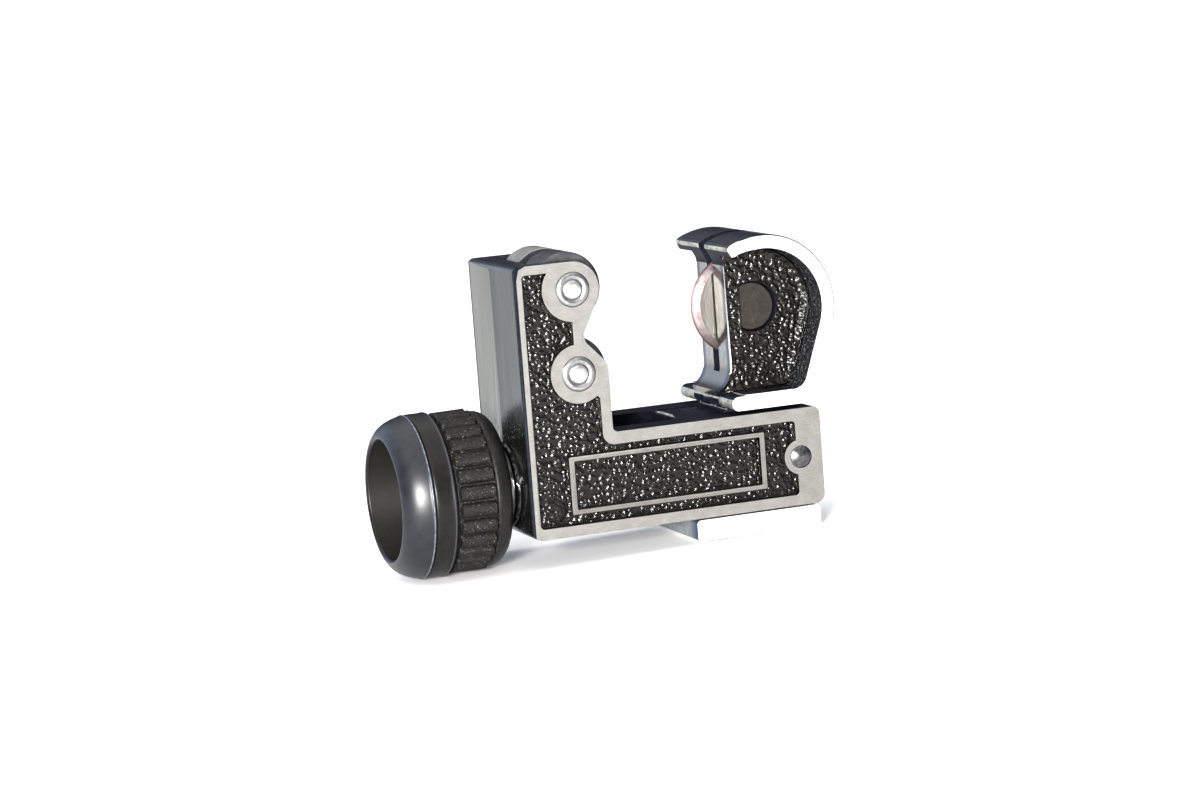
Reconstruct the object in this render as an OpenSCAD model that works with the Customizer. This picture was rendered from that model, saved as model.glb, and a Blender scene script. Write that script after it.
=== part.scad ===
// Small screw-feed tube cutter: a cast L-shaped body with two guide rollers,
// a sliding jaw with the cutting wheel, and a hollow knob on the feed screw.
// Sketches are drawn in the X-Z plane. X = 0 is the end face of the column,
// Z = 0 the underside of the arm and Y = 0 the mid-plane of the tool.
// The finished model is then moved so that its origin lies at the centre of
// the bottom of its bounding box.

/* [Body] */
// Length of the cast body along the arm
body_len = 61.5; // [60.5:0.5:63.5]
// Width of the cast body across both cheeks
body_wid = 27.6; // [27:0.2:29]
// Depth of the painted recesses in the side faces
recess_depth = 1.0; // [0.6:0.1:1.2]
// Width of the slot that the jaw runs in
slot_wid = 15.0; // [15:0.1:15.4]
// Clear width of the roller channel in the column
channel_wid = 20.9; // [20.9:0.1:21.3]

/* [Rollers] */
// Radius of the guide rollers
roller_r = 7.0; // [6.8:0.1:7.2]
// Length of the guide rollers
roller_len = 20.5; // [19:0.1:20.5]
// Radius of the riveted roller pins
roller_pin_r = 2.6; // [2.2:0.1:2.8]

/* [Jaw] */
// Outer radius of the jaw's rounded back
jaw_r = 14.7; // [14.2:0.1:15]
// Thickness of the jaw's rim
jaw_rim = 2.7; // [2.2:0.1:2.9]
// Thickness of the jaw's central web
web_wid = 14.4; // [13.6:0.1:14.4]

/* [Cutting wheel] */
// Radius of the cutting wheel
wheel_r = 10.3; // [9.8:0.1:10.4]
// Thickness of the cutting wheel at its shoulder
wheel_thk = 2.4; // [1.8:0.1:2.4]
// Radius of the wheel's pin
wheel_pin_r = 2.5; // [2:0.1:2.8]

/* [Feed] */
// Outer radius of the feed screw
screw_r = 3.9; // [3.4:0.1:4]
// Outer radius of the knob's smooth band
knob_r = 16.1; // [16:0.1:16.6]
// Inner radius of the knob's open mouth
knob_mouth_r = 11.8; // [10.5:0.1:12]
// Number of grip ribs around the knob
rib_count = 28; // [20:1:28]

/* [Hidden] */
$fn = 96;
hw = body_wid / 2;
arm_z = 19.3;
col_x = 18.15;
end_wall = 4.7;
end_block = 7.5;
channel_z = 22.3;
pin_x = 12.05;
pin_up_z = 47.67;
pin_lo_z = 31.32;
lobe_up_r = 5.4;
col_z = pin_up_z + lobe_up_r;
notch = [13.6, 38.9];
stop_x = body_len - 4.55;
stop_z = 9.6;
stop_r = 2.25;
axis_z = 9.565;
run = 0.05;

jaw_c = [51.6, 39.5];
jaw_in_r = jaw_r - jaw_rim;
jaw_face_x = 46.0;
jaw_tip_x = 44.5;
jaw_under_z = 50.9;
jaw_lean = 19.7;
flange_x0 = 43.2;
flange_x1 = 61.2;
flange_z0 = 20.17;
flange_z1 = 23.0;
tongue_x0 = 34.1;
tongue_x1 = 60.3;
tongue_z = 19.7;
foot_z0 = -4.45;
foot_z1 = -0.3;
wheel_x = 51.6;
wheel_z = 39.6;
wheel_slot = 3.0;
slot_r = 12.2;
slot_z = 26.7;
head_y = -6.4;
seat_y = -4.6;

knob_x0 = -24.97;
knob_floor = -9.0;
hub_x = -1.75;

x_mid = (knob_x0 + jaw_c[0] + jaw_r) / 2;
z_low = axis_z - knob_r;

// ---- drawing helpers -------------------------------------------------------

// Points along an arc, from angle a0 to a1 in n steps
function arc(c, r, a0, a1, n) =
    [for (i = [0:n]) let (a = a0 + (a1 - a0) * i / n)
        [c[0] + r * cos(a), c[1] + r * sin(a)]];

// Angle at which the tangent from point p touches a circle
function touch(c, r, p, side) =
    let (v = p - c, d = norm(v))
    atan2(v[1], v[0]) + side * acos(r / d);

function rounded(x0, z0, x1, z1, r) = concat(
    arc([x0 + r, z0 + r], r, 180, 270, 5), arc([x1 - r, z0 + r], r, 270, 360, 5),
    arc([x1 - r, z1 - r], r, 0, 90, 5), arc([x0 + r, z1 - r], r, 90, 180, 5));

// Moves the working frame to the centre of the bottom of the bounding box
module place() translate([-x_mid, 0, -z_low]) children();

// Extrudes an X-Z sketch from y0 to y1
module prism(y0, y1) translate([0, y1, 0]) rotate([90, 0, 0])
    linear_extrude(height = y1 - y0) children();

// Round bars across and along the tool
module bar_y(x, z, r, y0, y1) translate([x, y1, z]) rotate([90, 0, 0])
    cylinder(r = r, h = y1 - y0);
module bar_x(x0, x1, r) translate([x0, 0, axis_z]) rotate([0, 90, 0])
    cylinder(r = r, h = x1 - x0);

// Turned shapes: points are [radius, distance along the axis]
module turned_x() translate([0, 0, axis_z]) rotate([0, 90, 0])
    rotate_extrude() children();
module turned_y(x, z) translate([x, 0, z]) rotate([-90, 0, 0])
    rotate_extrude() children();

// Both sides of the tool
module both_sides() { children(); mirror([0, 1, 0]) children(); }

// ---- body ------------------------------------------------------------------

body_outline = concat(
    arc([2.3, 2.3], 2.3, 180, 270, 9),
    arc([body_len - 2, 2], 2, 270, 360, 9),
    arc([body_len - 1.6, arm_z - 1.6], 1.6, 0, 90, 9),
    arc([col_x + 1, arm_z + 1], 1, 270, 180, 6),
    // the lower lobe is cut back on a slant, so that the roller shows there
    [[col_x, pin_lo_z], [col_x - 0.10, pin_lo_z + 0.95], [col_x - 0.55, pin_lo_z + 2.0],
     [notch[0] + 0.45, notch[1] - 1.75], [notch[0] + 0.12, notch[1] - 0.9]],
    [notch],
    arc([pin_x, pin_up_z], lobe_up_r,
        touch([pin_x, pin_up_z], lobe_up_r, notch, 1), 90, 24),
    arc([1.6, col_z - 1.6], 1.6, 90, 180, 9));

rc_l = 1.95;
rc_b = 2.1;
rc_r = body_len - 5.4;
rc_t = 16.9;
rc_top = 51.3;
rc_col = 11.5;
rc_up = 6.2;
rc_lo = 5.72;
rc_boss = 3.5;
boss_a = acos((stop_x - rc_r) / rc_boss);
recess_outline = concat(
    arc([rc_l + 0.8, rc_b + 0.8], 0.8, 180, 270, 5),
    arc([rc_r - 0.8, rc_b + 0.8], 0.8, 270, 360, 5),
    arc([stop_x, stop_z], rc_boss, 180 + boss_a, 180 - boss_a, 16),
    arc([rc_r - 0.8, rc_t - 0.8], 0.8, 0, 90, 5),
    arc([18.3, rc_t + 2.3], 2.3, 270, 180, 8),
    [[16, 26.2]],
    arc([pin_x, pin_lo_z], rc_lo, -53.5,
        -360 + acos((rc_col - pin_x) / rc_lo), 32),
    arc([pin_x, pin_up_z], rc_up, 360 - acos((rc_col - pin_x) / rc_up),
        180 - asin((rc_top - pin_up_z) / rc_up), 20),
    arc([rc_l + 0.6, rc_top - 0.6], 0.6, 90, 180, 5));

// One side face's recess, with the plain framed panel left standing in it
module side_recess() difference() {
    prism(-hw - 1, -hw + recess_depth) polygon(recess_outline);
    difference() {
        prism(-hw + 0.1, -hw + recess_depth + 1)
            polygon(rounded(8.7, 4.2, body_len - 12.05, 15.4, 0.3));
        prism(-hw - 1, -hw + recess_depth + 2)
            polygon(rounded(9.75, 5.05, body_len - 13.05, 14.55, 0.2));
    }
}

module body() color("#3a3936") place() {
    difference() {
        union() {
            // the end face is drafted to both sides of the parting line
            intersection() {
                prism(-hw, hw) polygon(body_outline);
                translate([0, 0, -5]) linear_extrude(height = 70)
                    polygon([[0, 0], [0.35, -hw - 0.1], [body_len + 1, -hw - 0.1],
                             [body_len + 1, hw + 0.1], [0.35, hw + 0.1]]);
            }
            // low boss that the thrust washer turns against
            bar_x(-0.5, 2, 8.4);
        }
        both_sides() side_recess();
        // round ejector mark in each recess
        both_sides() bar_y(5.5, 5.3, 2.1, -hw, -hw + recess_depth + 0.25);
        // roller channel and jaw slot
        translate([end_wall, -channel_wid / 2, channel_z])
            cube([40, channel_wid, 60]);
        translate([end_block, -slot_wid / 2, -10])
            cube([80, slot_wid, 45]);
        // bores for the feed screw, the roller pins and the stop pin
        bar_x(-5, end_block + 1, screw_r + run);
        bar_y(pin_x, pin_up_z, roller_pin_r, -hw - 1, hw + 1);
        bar_y(pin_x, pin_lo_z, roller_pin_r, -hw - 1, hw + 1);
        bar_y(stop_x, stop_z, stop_r, -hw - 1, hw + 1);
    }
}

// ---- rollers and their pins --------------------------------------------------

module roller(z) place() turned_y(pin_x, z) polygon([
    [roller_pin_r + run, -roller_len / 2], [roller_r - 0.4, -roller_len / 2],
    [roller_r, -roller_len / 2 + 0.4], [roller_r, -2.4],
    [roller_r - 1.6, -0.8], [roller_r - 1.6, 0.8], [roller_r, 2.4],
    [roller_r, roller_len / 2 - 0.4], [roller_r - 0.4, roller_len / 2],
    [roller_pin_r + run, roller_len / 2]]);

module roller_upper() color("#8d9096") roller(pin_up_z);
module roller_lower() color("#8d9096") roller(pin_lo_z);

// Pin with a raised centre and a rolled-over ring on both ends
rivet_edge = [[0, 0.56], [0.9, 0.55], [1.4, 0.5], [1.62, 0.42], [1.85, 0.24], [2.05, 0.2],
              [2.3, 0.4], [2.5, 0.5], [2.72, 0.5], [3, 0.38], [3.25, 0.2], [3.45, 0]];
module roller_pin(z) place() turned_y(pin_x, z) polygon(concat(
    [for (p = rivet_edge) [p[0], hw + p[1]]],
    [[roller_pin_r, hw], [roller_pin_r, -hw]],
    [for (i = [len(rivet_edge) - 1:-1:0]) [rivet_edge[i][0], -hw - rivet_edge[i][1]]]));

module roller_pin_upper() color("#d9dadb") roller_pin(pin_up_z);
module roller_pin_lower() color("#d9dadb") roller_pin(pin_lo_z);

// Cross pin that stops the jaw at the open end of the arm
module stop_pin() color("#4a4a4c") place() turned_y(stop_x, stop_z) polygon(concat(
    [[0, -hw - 0.7], [0.8, -hw - 0.6], [1.6, -hw - 0.3], [stop_r, -hw + 0.15]],
    [[stop_r, hw - 0.15], [1.6, hw + 0.3], [0.8, hw + 0.6], [0, hw + 0.7]]));

// ---- jaw ---------------------------------------------------------------------

// rounded nose of the hook, running back into the front face along a hollow slant
nose_r = 0.9;
tip_a = 180 - acos((jaw_c[0] - jaw_tip_x - nose_r) / (jaw_r - nose_r));
nose_z = jaw_c[1] + (jaw_r - nose_r) * sin(tip_a);
jaw_outline = concat(
    arc(jaw_c, jaw_r, tip_a, -jaw_lean, 48),
    [[61.5, flange_z1], [61.0, flange_z1 - 1], [jaw_face_x, flange_z1 - 1]],
    arc([jaw_face_x - 2.5, nose_z - 3.62], 2.5, 0, 28.6, 6),
    arc([jaw_tip_x + nose_r, nose_z], nose_r, 208.6, tip_a + 1, 8));

jaw_recess = concat(
    [[38, flange_z1 + 0.2], [56.9, flange_z1 + 0.2], [58.2, flange_z1 + 0.7],
     [59.1, flange_z1 + 1.7]],
    arc(jaw_c, jaw_in_r, -jaw_lean, 92, 30),
    [[48.5, jaw_under_z + 0.35], [46.6, jaw_under_z - 0.1], [45.9, jaw_under_z - 0.5],
     [38, jaw_under_z - 0.8]]);

tongue_outline = concat(
    [[tongue_x0, foot_z0 + 2], [tongue_x1, foot_z0 + 2], [tongue_x1, flange_z0 + 1],
     [44.6, flange_z0 + 1], [44.6, tongue_z]],
    arc([tongue_x0 + 0.9, tongue_z - 0.9], 0.9, 90, 180, 6));

flange_outline = concat(
    arc([flange_x0 + 1.4, flange_z0 + 1.4], 1.4, 90, 270, 14),
    arc([flange_x1 - 0.6, flange_z0 + 0.6], 0.6, 270, 360, 5),
    [[flange_x1, flange_z1]]);

module jaw_slide() color("#3d3c3a") place() difference() {
    union() {
        // rounded head: full width, cut back to the web on both sides
        difference() {
            prism(-hw, hw) polygon(jaw_outline);
            prism(-hw - 1, -web_wid / 2) polygon(jaw_recess);
            prism(web_wid / 2, hw + 1) polygon(jaw_recess);
        }
        // hollow foot of the head's front face
        prism(-web_wid / 2, web_wid / 2) polygon(concat(
            arc([jaw_face_x - 5, 28], 5, 0, -63, 12),
            [[flange_x0 + 0.3, flange_z1 - 1], [jaw_face_x + 1, flange_z1 - 1],
             [jaw_face_x + 1, 28]]));
        // upper flange over the arm, lower flange under it
        prism(-hw, hw) polygon(flange_outline);
        prism(-hw, hw) polygon(rounded(tongue_x0, foot_z0, tongue_x1, foot_z1, 0.8));
        // tongue in the arm's slot, with a crowned top
        intersection() {
            prism(-web_wid / 2, web_wid / 2) polygon(tongue_outline);
            union() {
                translate([0, 0, tongue_z - 35]) rotate([0, 90, 0])
                    cylinder(r = 35, h = 90, $fn = 256);
                translate([flange_x0 + 0.8, -hw, 10]) cube([30, 2 * hw, 20]);
            }
        }
    }
    // slot of the cutting wheel, open to the front and over the crest
    prism(-wheel_slot / 2, wheel_slot / 2) polygon(concat(
        [[38, slot_z], [jaw_face_x + 1, slot_z]],
        arc([wheel_x, wheel_z], slot_r, 275, 420, 24),
        [[wheel_x + slot_r * cos(60), 62], [38, 62]]));
    // bore of the wheel's pin, and the sunk seat that keeps its flat head from turning
    difference() {
        bar_y(wheel_x, wheel_z, 5.0, -web_wid / 2 - 1, seat_y);
        translate([wheel_x - 12.75, -hw, wheel_z - 8]) cube([10, 2 * hw, 16]);
    }
    bar_y(wheel_x, wheel_z, wheel_pin_r, -hw - 1, hw + 1);
    // bore of the feed screw, and the way out for the stop pin
    bar_x(tongue_x0 - 1, tongue_x1 + 1, screw_r + run);
    prism(-hw, hw) polygon(concat(
        arc([stop_x - 0.3, stop_z], stop_r + 0.35, 90, 270, 18),
        [[tongue_x1 + 1, stop_z - stop_r - 0.35], [tongue_x1 + 1, stop_z + stop_r + 0.35]]));
    // two cored pockets in the front end of the upper flange
    both_sides() translate([flange_x0 - 1, 1.5, flange_z0 - 0.3])
        cube([3.4, 5.2, 2.1]);
}

// ---- cutting wheel and its pin -----------------------------------------------

module cutter_wheel() color("#c3bdb8") place() turned_y(wheel_x, wheel_z) polygon([
    [wheel_pin_r + run, -wheel_thk / 2], [wheel_r - 1.6, -wheel_thk / 2],
    [wheel_r, -0.05], [wheel_r, 0.05],
    [wheel_r - 1.6, wheel_thk / 2], [wheel_pin_r + run, wheel_thk / 2]]);

module wheel_pin() color("#6b665f") place() {
    difference() {
        union() {
            bar_y(wheel_x, wheel_z, wheel_pin_r, seat_y - 1, 9.3);
            difference() {
                bar_y(wheel_x, wheel_z, 4.8, head_y, seat_y);
                translate([wheel_x - 12.55, -hw, wheel_z - 8]) cube([10, 2 * hw, 16]);
            }
        }
        // groove of the retaining clip
        difference() {
            bar_y(wheel_x, wheel_z, wheel_pin_r + 1, 7.4, 8.1);
            bar_y(wheel_x, wheel_z, wheel_pin_r - 0.55, 7, 9);
        }
    }
}

module wheel_pin_clip() color("#5b5c60") place() difference() {
    bar_y(wheel_x, wheel_z, 4.5, 7.45, 8.05);
    bar_y(wheel_x, wheel_z, wheel_pin_r - 0.55, 7, 9);
    translate([wheel_x - 1.7, 7, wheel_z - 8]) cube([3.4, 2, 8]);
}

// ---- feed screw and knob -------------------------------------------------------

module feed_screw() color("#777a7e") place() turned_x() polygon([
    [0, -14.6], [2.5, -14.6], [3, -14.1], [3, hub_x], [screw_r, hub_x],
    [screw_r, 8.45], [screw_r - 0.8, 8.45], [screw_r - 0.8, 9.15], [screw_r, 9.15],
    [screw_r, 51.2], [screw_r - 0.8, 52], [0, 52]]);

module thrust_washer() color("#e2e3e4") place() turned_x() polygon([
    [screw_r, hub_x], [7.8, hub_x], [8, hub_x + 0.2], [8, -0.85], [7.8, -0.65],
    [screw_r, -0.65]]);

module inner_washer() color("#b9bbbe") place() turned_x() polygon([
    [screw_r, end_block + 0.1], [6.8, end_block + 0.1], [6.8, 8.4], [screw_r, 8.4]]);

module screw_clip() color("#5b5c60") place() difference() {
    bar_x(8.45, 9.15, 6.2);
    bar_x(8, 10, screw_r - 0.8);
    translate([8, -2.7, axis_z - 10]) cube([2, 5.4, 10]);
}

knob_profile = concat(
    [[3, knob_floor], [knob_mouth_r - 0.9, knob_floor], [knob_mouth_r, knob_x0 + 0.15],
     [knob_mouth_r + 0.25, knob_x0]],
    [[12.75, -24.8], [13.4, -24.42], [14.0, -23.9], [14.55, -23.25], [15.05, -22.4],
     [15.45, -21.4], [15.75, -20.3], [15.88, -19.45], [15.6, -19.25], [15.6, -19.1],
     [knob_r - 0.12, -18.9], [knob_r, -18.5], [knob_r, -15.4], [knob_r - 0.25, -14.8],
     [15.3, -14.35], [15.45, -12], [15.6, -9], [15.55, -7.1], [15.1, -6.7],
     [15.15, -5.6], [14.95, -4.6], [14.4, -3.7], [13.5, -3.1], [12.5, -2.9]],
    [[7, -2.9], [7, hub_x], [3, hub_x]]);

module knob() color("#2c2c2b") place() difference() {
    turned_x() polygon(knob_profile);
    // grip: narrow round-bottomed grooves between the ribs
    for (i = [0:rib_count - 1]) translate([-14.3, 0, axis_z])
        rotate([360 / rib_count * i, 0, 0]) translate([0, 0, 15.75])
            rotate([0, 90, 0]) cylinder(r = 0.85, h = 7.5, $fn = 20);
}

module knob_washer() color("#9a9ca0") place() turned_x() polygon([
    [3, knob_floor - 0.9], [5.2, knob_floor - 0.9], [5.2, knob_floor], [3, knob_floor]]);

module knob_nut() color("#a9abae") place() difference() {
    translate([-13.7, 0, axis_z]) rotate([0, 90, 0]) cylinder(r = 5.77, h = 3.8, $fn = 6);
    bar_x(-15, -9, 3);
}

body();
roller_upper();
roller_lower();
roller_pin_upper();
roller_pin_lower();
stop_pin();
jaw_slide();
cutter_wheel();
wheel_pin();
wheel_pin_clip();
feed_screw();
thrust_washer();
inner_washer();
screw_clip();
knob();
knob_washer();
knob_nut();
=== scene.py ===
import math
import bpy
import bmesh
import numpy as np
from mathutils import Matrix, Vector, noise
from mathutils.geometry import delaunay_2d_cdt


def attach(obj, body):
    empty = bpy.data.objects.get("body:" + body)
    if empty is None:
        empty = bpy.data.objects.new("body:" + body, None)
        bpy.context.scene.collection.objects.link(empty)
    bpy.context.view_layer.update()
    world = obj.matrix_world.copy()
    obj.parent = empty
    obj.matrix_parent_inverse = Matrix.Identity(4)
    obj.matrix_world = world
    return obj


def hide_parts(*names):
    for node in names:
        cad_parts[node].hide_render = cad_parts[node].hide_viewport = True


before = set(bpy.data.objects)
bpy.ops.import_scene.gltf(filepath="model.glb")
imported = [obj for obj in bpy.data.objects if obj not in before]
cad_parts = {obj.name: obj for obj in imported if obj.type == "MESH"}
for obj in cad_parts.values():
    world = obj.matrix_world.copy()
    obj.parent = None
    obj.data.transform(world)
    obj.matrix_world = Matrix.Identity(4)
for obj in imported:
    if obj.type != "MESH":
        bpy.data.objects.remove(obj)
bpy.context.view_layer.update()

# Drawing is done in millimetres, with X = 0 on the column's end face, Z = 0 on
# the arm's underside and Y = 0 on the mid-plane, then moved to the row frame.
XM, ZL = 20.665, -6.535
TO_ROW = Matrix.Scale(0.001, 4) @ Matrix.Translation((-XM, 0.0, -ZL))
TO_MM = TO_ROW.inverted()

HW = 13.8            # half width of the castings
AX = 9.565           # height of the feed screw's axis
PIN_X, UP_Z, LO_Z = 12.05, 47.67, 31.32
WHEEL_X, WHEEL_Z = 51.6, 39.6
WEB = 7.2            # half thickness of the jaw's web


# ---------------------------------------------------------------- node graphs

class Graph:
    """A material's node tree, with short calls for the nodes used here."""

    def __init__(self, name):
        self.mat = bpy.data.materials.new(name)
        self.mat.use_nodes = True
        self.t = self.mat.node_tree
        self.t.nodes.clear()
        self.out = self.t.nodes.new("ShaderNodeOutputMaterial")
        self.b = self.t.nodes.new("ShaderNodeBsdfPrincipled")
        self.t.links.new(self.b.outputs[0], self.out.inputs["Surface"])
        tc = self.t.nodes.new("ShaderNodeTexCoord")
        m = self.t.nodes.new("ShaderNodeMapping")
        m.inputs["Location"].default_value = (XM, 0.0, ZL)
        m.inputs["Scale"].default_value = (1000.0, 1000.0, 1000.0)
        self.t.links.new(tc.outputs["Object"], m.inputs["Vector"])
        self.p = m.outputs[0]          # position in millimetres
        self._xyz = None

    def put(self, sock, v):
        if isinstance(v, bpy.types.NodeSocket):
            self.t.links.new(v, sock)
        elif isinstance(v, (tuple, list)) and len(v) == 3 and sock.type == "RGBA":
            sock.default_value = (*v, 1.0)
        else:
            sock.default_value = v

    def set(self, **kw):
        for k, v in kw.items():
            self.put(self.b.inputs[k.replace("_", " ")], v)

    def xyz(self):
        if self._xyz is None:
            s = self.t.nodes.new("ShaderNodeSeparateXYZ")
            self.t.links.new(self.p, s.inputs[0])
            self._xyz = s.outputs
        return self._xyz

    def math(self, op, a, b=0.0, c=0.0, clamp=False):
        n = self.t.nodes.new("ShaderNodeMath")
        n.operation, n.use_clamp = op, clamp
        for i, v in enumerate((a, b, c)):
            self.put(n.inputs[i], v)
        return n.outputs[0]

    def scaled(self, scale, loc=(0, 0, 0), rot=(0, 0, 0), vec=None):
        m = self.t.nodes.new("ShaderNodeMapping")
        m.inputs["Location"].default_value = loc
        m.inputs["Rotation"].default_value = rot
        m.inputs["Scale"].default_value = scale
        self.t.links.new(vec or self.p, m.inputs["Vector"])
        return m.outputs[0]

    def noise(self, scale, detail=2.0, rough=0.5, distort=0.0, vec=None):
        n = self.t.nodes.new("ShaderNodeTexNoise")
        self.t.links.new(vec or self.p, n.inputs["Vector"])
        n.inputs["Scale"].default_value = scale
        n.inputs["Detail"].default_value = detail
        n.inputs["Roughness"].default_value = rough
        n.inputs["Distortion"].default_value = distort
        return n.outputs[0]

    def voronoi(self, scale, feature="F1", rnd=1.0, vec=None, smooth=None):
        n = self.t.nodes.new("ShaderNodeTexVoronoi")
        n.feature = feature
        self.t.links.new(vec or self.p, n.inputs["Vector"])
        n.inputs["Scale"].default_value = scale
        n.inputs["Randomness"].default_value = rnd
        if smooth is not None and "Smoothness" in n.inputs:
            n.inputs["Smoothness"].default_value = smooth
        return n.outputs["Distance"]

    def range(self, v, a, b, c, d, smooth=False):
        n = self.t.nodes.new("ShaderNodeMapRange")
        if smooth:
            n.interpolation_type = "SMOOTHSTEP"
        for i, x in enumerate((v, a, b, c, d)):
            self.put(n.inputs[i], x)
        return n.outputs[0]

    def ramp(self, v, stops):
        n = self.t.nodes.new("ShaderNodeValToRGB")
        e = n.color_ramp.elements
        while len(e) < len(stops):
            e.new(0.5)
        for i, (pos, col) in enumerate(stops):
            e[i].position = pos
            e[i].color = (*col, 1.0)
        self.put(n.inputs[0], v)
        return n.outputs[0]

    def mix(self, f, a, b, blend="MIX"):
        n = self.t.nodes.new("ShaderNodeMix")
        n.data_type, n.blend_type = "RGBA", blend
        self.put(n.inputs[0], f)
        self.put(n.inputs[6], a)
        self.put(n.inputs[7], b)
        return n.outputs[2]

    def lerp(self, f, a, b):
        n = self.t.nodes.new("ShaderNodeMix")
        n.data_type = "FLOAT"
        self.put(n.inputs[0], f)
        self.put(n.inputs[2], a)
        self.put(n.inputs[3], b)
        return n.outputs[0]

    def bump(self, height, dist_mm, strength=1.0, normal=None):
        n = self.t.nodes.new("ShaderNodeBump")
        n.inputs["Strength"].default_value = strength
        n.inputs["Distance"].default_value = dist_mm * 0.001
        self.put(n.inputs["Height"], height)
        if normal is not None:
            self.put(n.inputs["Normal"], normal)
        return n.outputs[0]


# ------------------------------------------------------------------ materials

def wrinkle(name, wall):
    """Black wrinkle paint in the recesses: pebbled, glossy, brown-black."""
    g = Graph(name)
    fine = g.noise(5.0, 2.0, 0.5)
    h = g.math("MULTIPLY", fine, 0.05)
    if wall:
        d = g.voronoi(1.15, vec=g.scaled((1.0, 0.9, 1.0)))
        h = g.math("SUBTRACT", h, g.math("MULTIPLY", g.math("MULTIPLY", d, d), 0.60))
    col = g.ramp(g.noise(0.8, 3.0, 0.6), [(0.30, (0.0028, 0.0025, 0.0021)),
                                          (0.52, (0.0050, 0.0043, 0.0035)),
                                          (0.72, (0.0110, 0.0092, 0.0072))])
    if wall:
        # painted light: on the walls the same paint is coloured lighter than on the floors
        col = g.mix(0.6, col, (0.030, 0.031, 0.035))
        # painted glints: pale specks put into the paint's colour
        glint = g.range(g.noise(2.4, 2.0, 0.5), 0.60, 0.70, 0.0, 0.75, True)
        col = g.mix(glint, col, (0.17, 0.175, 0.19))
    g.set(Base_Color=col, Metallic=0.0, Normal=g.bump(h, 1.0, 1.0),
          Roughness=g.range(g.noise(2.2, 2.0), 0.3, 0.7, 0.09, 0.17))
    g.b.inputs["Specular IOR Level"].default_value = 0.85 if wall else 0.36
    return g.mat


def mat_wrinkle():
    return wrinkle("black_wrinkle_paint", False)


def mat_wall():
    return wrinkle("black_wrinkle_wall", True)


def mat_rim():
    """Belt-sanded edges of the body casting: warm light grey, finely scratched."""
    g = Graph("sanded_rim")
    lines = g.noise(1.0, 3.0, 0.6, 0.1, g.scaled((0.55, 4.0, 7.5)))
    blot = g.noise(0.35, 3.0, 0.6)
    grain = g.noise(3.2, 3.0, 0.65)
    f = g.math("ADD", g.math("MULTIPLY", lines, 0.40), g.math("MULTIPLY", blot, 0.30))
    f = g.math("ADD", f, g.math("MULTIPLY", grain, 0.30))
    col = g.ramp(f, [(0.36, (0.205, 0.200, 0.187)), (0.5, (0.252, 0.246, 0.231)),
                     (0.64, (0.300, 0.294, 0.278))])
    # a little brown stain near the open end of the arm
    x, y, z = g.xyz()
    st = g.math("MULTIPLY", g.range(x, 58.8, 61.3, 0, 1, True),
                g.range(g.noise(1.1, 3.0, 0.65), 0.54, 0.74, 0, 0.7, True))
    col = g.mix(st, col, (0.32, 0.25, 0.13))
    # small dark pits
    pit = g.range(g.voronoi(0.8), 0.03, 0.09, 0.45, 0.0, True)
    col = g.mix(pit, col, (0.20, 0.19, 0.18))
    g.set(Base_Color=col, Metallic=0.80,
          Roughness=g.range(lines, 0.3, 0.7, 0.38, 0.54),
          Normal=g.bump(f, 0.022, 0.9))
    return g.mat


def mat_bright():
    """Bright polished edges of the jaw casting."""
    g = Graph("bright_polished")
    lines = g.noise(1.0, 3.0, 0.6, 0.1, g.scaled((0.5, 3.0, 6.0)))
    blot = g.noise(0.4, 2.0, 0.5)
    col = g.ramp(blot, [(0.3, (0.86, 0.865, 0.87)), (0.7, (0.96, 0.962, 0.965))])
    g.set(Base_Color=col, Metallic=0.88, Roughness=g.range(lines, 0.3, 0.7, 0.16, 0.30),
          Normal=g.bump(lines, 0.008, 0.8))
    return g.mat


def mat_mirror():
    """The jaw's mirror-bright front face and foot."""
    g = Graph("mirror_face")
    lines = g.noise(1.0, 2.0, 0.5, 0.0, g.scaled((3.0, 6.0, 0.35)))
    blot = g.noise(0.6, 3.0, 0.6)
    col = g.ramp(blot, [(0.3, (0.20, 0.202, 0.20)), (0.7, (0.33, 0.33, 0.32))])
    x, y, z = g.xyz()
    col = g.mix(g.range(z, 29.5, 26.5, 0.0, 0.78, True), col, (0.150, 0.130, 0.098))
    # painted dark blue shade towards both corners
    edge = g.range(g.math("ABSOLUTE", y), 4.9, 6.3, 0.0, 0.85, True)
    col = g.mix(edge, col, (0.030, 0.042, 0.085))
    g.set(Base_Color=col, Metallic=0.95, Roughness=g.range(blot, 0.3, 0.7, 0.07, 0.20),
          Normal=g.bump(lines, 0.006, 0.7))
    return g.mat


def mat_toe():
    """The jaw's foot: cast metal, in random pale and dark patches."""
    g = Graph("rubbed_toe")
    blot = g.noise(0.55, 4.0, 0.62)
    fine = g.noise(3.0, 3.0, 0.6)
    col = g.ramp(blot, [(0.34, (0.066, 0.060, 0.050)), (0.48, (0.185, 0.182, 0.163)), (0.66, (0.31, 0.305, 0.278))])
    g.set(Base_Color=col, Metallic=0.25, Roughness=g.range(blot, 0.3, 0.7, 0.46, 0.34),
          Normal=g.bump(g.math("ADD", blot, g.math("MULTIPLY", fine, 0.25)), 0.05, 0.8))
    return g.mat


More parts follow.
